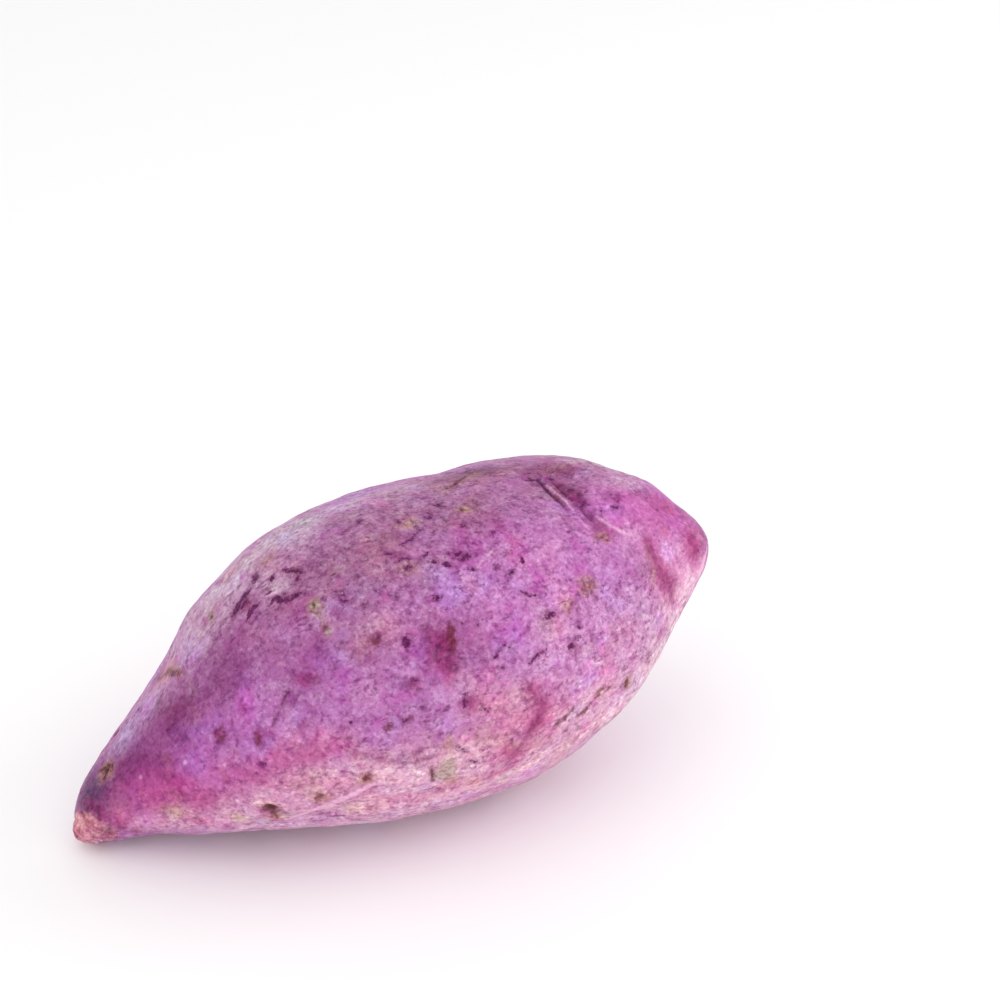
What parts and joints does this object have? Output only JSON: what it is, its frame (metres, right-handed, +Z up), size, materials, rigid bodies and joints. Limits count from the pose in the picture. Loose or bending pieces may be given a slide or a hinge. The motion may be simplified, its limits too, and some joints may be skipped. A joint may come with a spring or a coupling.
{
  "type": "purple sweet potato",
  "caption": "Whole purple-skinned sweet potato: a full spindle-shaped root with a thin root tip and a blunt crown, lying on its belly.",
  "frame": {"origin": "on the resting surface, under the middle of the root's box", "axes": "+X along the root from its thin tip to its crown, -Y its front, +Z up"},
  "size_m": [0.167, 0.0902, 0.0804],
  "materials": {
    "skin": "dry matt root skin, mottled mauve and purple, with scurf, flecks and scars"
  },
  "bodies": {
    "root": {"sweet_potato": "skin"}
  },
  "joints": []
}
